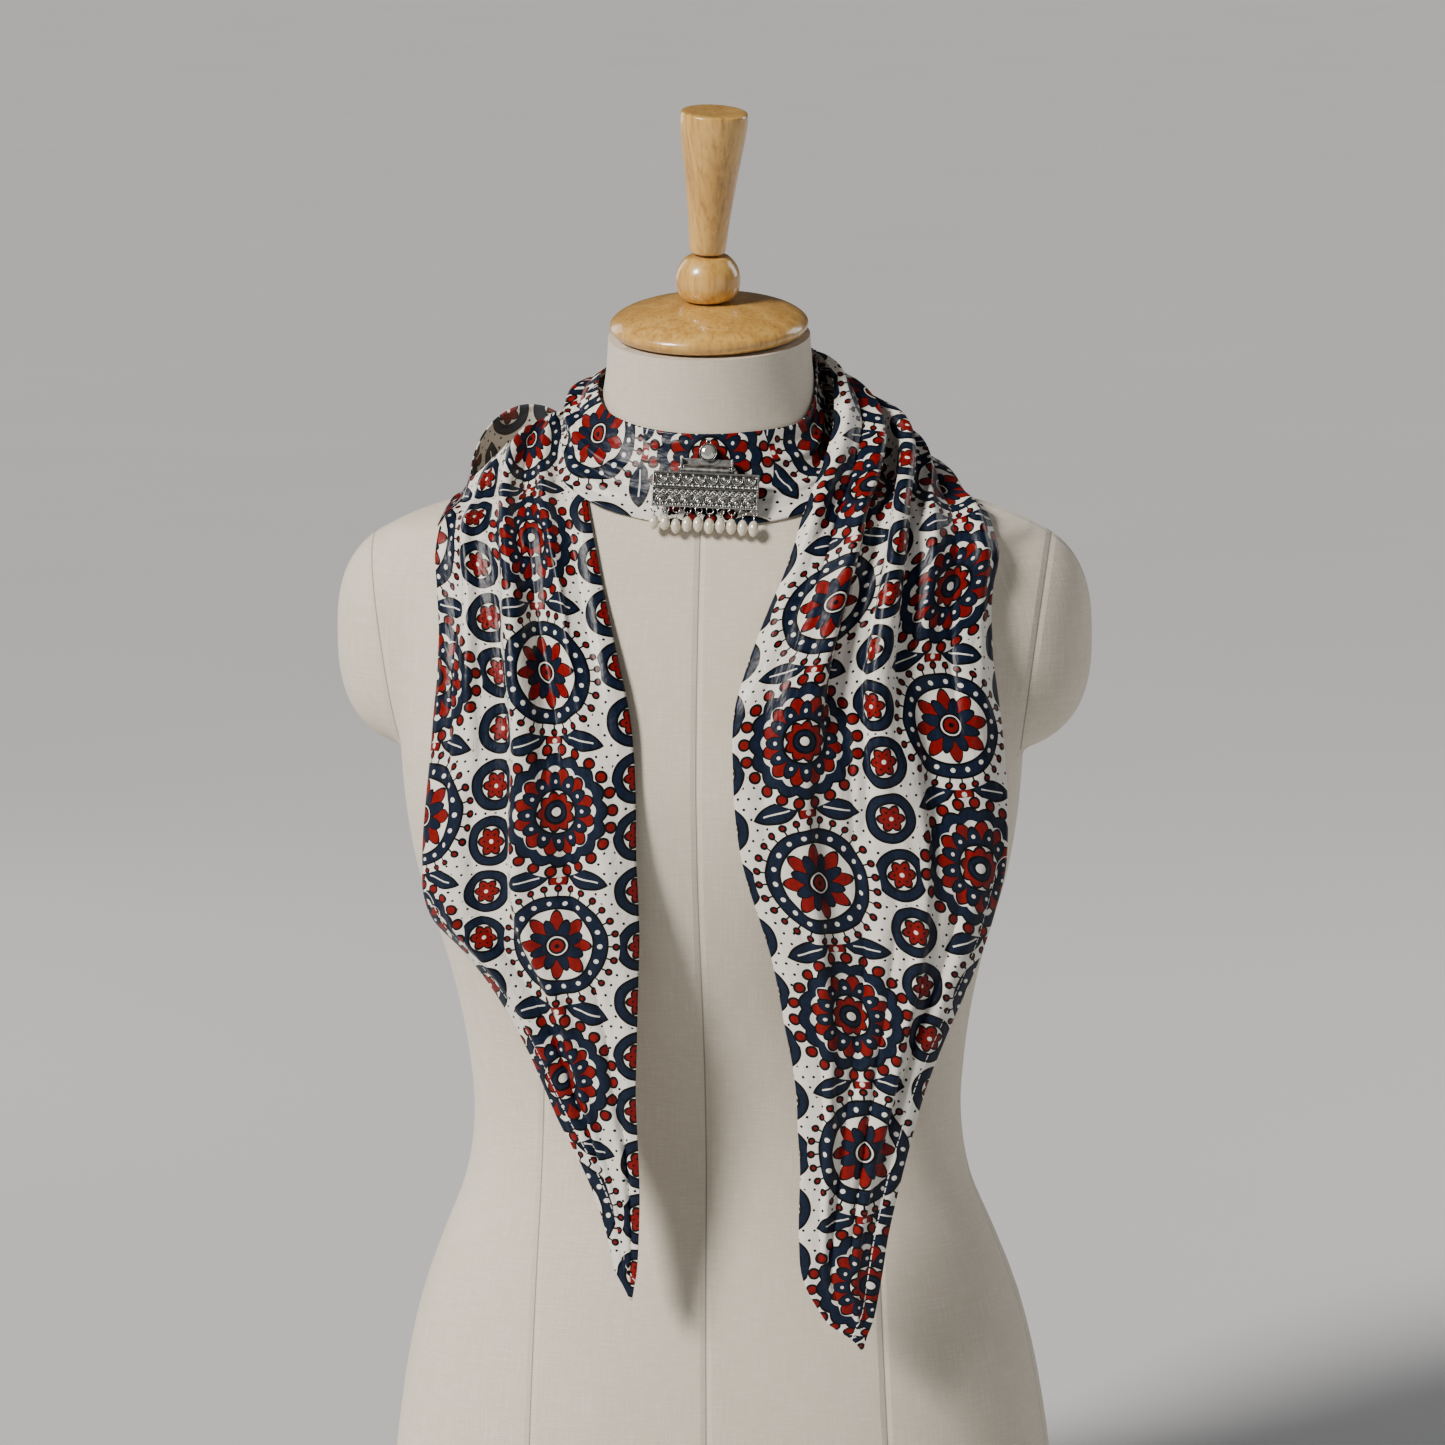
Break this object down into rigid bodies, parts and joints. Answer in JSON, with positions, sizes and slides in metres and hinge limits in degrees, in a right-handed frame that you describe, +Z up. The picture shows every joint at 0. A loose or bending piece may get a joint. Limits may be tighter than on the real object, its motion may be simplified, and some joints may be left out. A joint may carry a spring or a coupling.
{
  "type": "scarf with brooch on a dress form",
  "caption": "Printed neck scarf wound once round a limbless linen dress form, its tails hanging in front, with a hinged silver brooch hung with pearls.",
  "frame": {"origin": "on the flat underside of the dress form, in its middle, under the neck", "axes": "+Z up; -Y the way the form faces, the side with the brooch; +X the right-hand side as seen from the front"},
  "size_m": [0.405, 0.2515, 0.8335],
  "materials": {
    "linen": "matt beige linen",
    "wood": "honey lacquer",
    "scarf": "soft satin sheen, printed",
    "silver": "oxidised silver",
    "crystal": "polished, faceted",
    "pearl": "creamy lustre"
  },
  "bodies": {
    "form_and_scarf": {"dress_form": "linen", "neck_disc": "wood", "finial_ball": "wood", "finial_handle": "wood", "scarf_nape_under": "scarf", "scarf_tail_left": "scarf", "scarf_shoulder_loop": "scarf", "scarf_front_band": "scarf", "scarf_nape_over": "scarf", "scarf_tail_right": "scarf", "brooch_bracket": "silver", "brooch_stone": "crystal"},
    "plate": {"brooch_plate": "silver"},
    "pearl_drop_01": {"pearl_01": "pearl", "pearl_wire_01": "silver"},
    "pearl_drop_02": {"pearl_02": "pearl", "pearl_wire_02": "silver"},
    "pearl_drop_03": {"pearl_03": "pearl", "pearl_wire_03": "silver"},
    "pearl_drop_04": {"pearl_04": "pearl", "pearl_wire_04": "silver"},
    "pearl_drop_05": {"pearl_05": "pearl", "pearl_wire_05": "silver"},
    "pearl_drop_06": {"pearl_06": "pearl", "pearl_wire_06": "silver"},
    "pearl_drop_07": {"pearl_07": "pearl", "pearl_wire_07": "silver"},
    "pearl_drop_08": {"pearl_08": "pearl", "pearl_wire_08": "silver"},
    "pearl_drop_09": {"pearl_09": "pearl", "pearl_wire_09": "silver"},
    "pearl_drop_10": {"pearl_10": "pearl", "pearl_wire_10": "silver"}
  },
  "joints": [
    {"name": "plate_hinge", "type": "hinge", "parent": "form_and_scarf", "child": "plate", "pos_m": [0.0034, -0.0755, 0.6473], "axis": [-0.999, 0, 0.0454], "range_deg": [0, 70]},
    {"name": "pearl_swing_01", "type": "hinge", "parent": "plate", "child": "pearl_drop_01", "pos_m": [-0.02382, -0.08155, 0.62529], "axis": [-0.999, 0, 0.0454], "range_deg": [0, 60]},
    {"name": "pearl_swing_02", "type": "hinge", "parent": "plate", "child": "pearl_drop_02", "pos_m": [-0.018, -0.08155, 0.62502], "axis": [-0.999, 0, 0.0454], "range_deg": [0, 60]},
    {"name": "pearl_swing_03", "type": "hinge", "parent": "plate", "child": "pearl_drop_03", "pos_m": [-0.01219, -0.08155, 0.62476], "axis": [-0.999, 0, 0.0454], "range_deg": [0, 60]},
    {"name": "pearl_swing_04", "type": "hinge", "parent": "plate", "child": "pearl_drop_04", "pos_m": [-0.00637, -0.08155, 0.6245], "axis": [-0.999, 0, 0.0454], "range_deg": [0, 60]},
    {"name": "pearl_swing_05", "type": "hinge", "parent": "plate", "child": "pearl_drop_05", "pos_m": [-0.00056, -0.08155, 0.62423], "axis": [-0.999, 0, 0.0454], "range_deg": [0, 60]},
    {"name": "pearl_swing_06", "type": "hinge", "parent": "plate", "child": "pearl_drop_06", "pos_m": [0.00525, -0.08155, 0.62397], "axis": [-0.999, 0, 0.0454], "range_deg": [0, 60]},
    {"name": "pearl_swing_07", "type": "hinge", "parent": "plate", "child": "pearl_drop_07", "pos_m": [0.01107, -0.08155, 0.6237], "axis": [-0.999, 0, 0.0454], "range_deg": [0, 60]},
    {"name": "pearl_swing_08", "type": "hinge", "parent": "plate", "child": "pearl_drop_08", "pos_m": [0.01688, -0.08155, 0.62344], "axis": [-0.999, 0, 0.0454], "range_deg": [0, 60]},
    {"name": "pearl_swing_09", "type": "hinge", "parent": "plate", "child": "pearl_drop_09", "pos_m": [0.02269, -0.08155, 0.62318], "axis": [-0.999, 0, 0.0454], "range_deg": [0, 60]},
    {"name": "pearl_swing_10", "type": "hinge", "parent": "plate", "child": "pearl_drop_10", "pos_m": [0.02851, -0.08155, 0.62291], "axis": [-0.999, 0, 0.0454], "range_deg": [0, 60]}
  ]
}
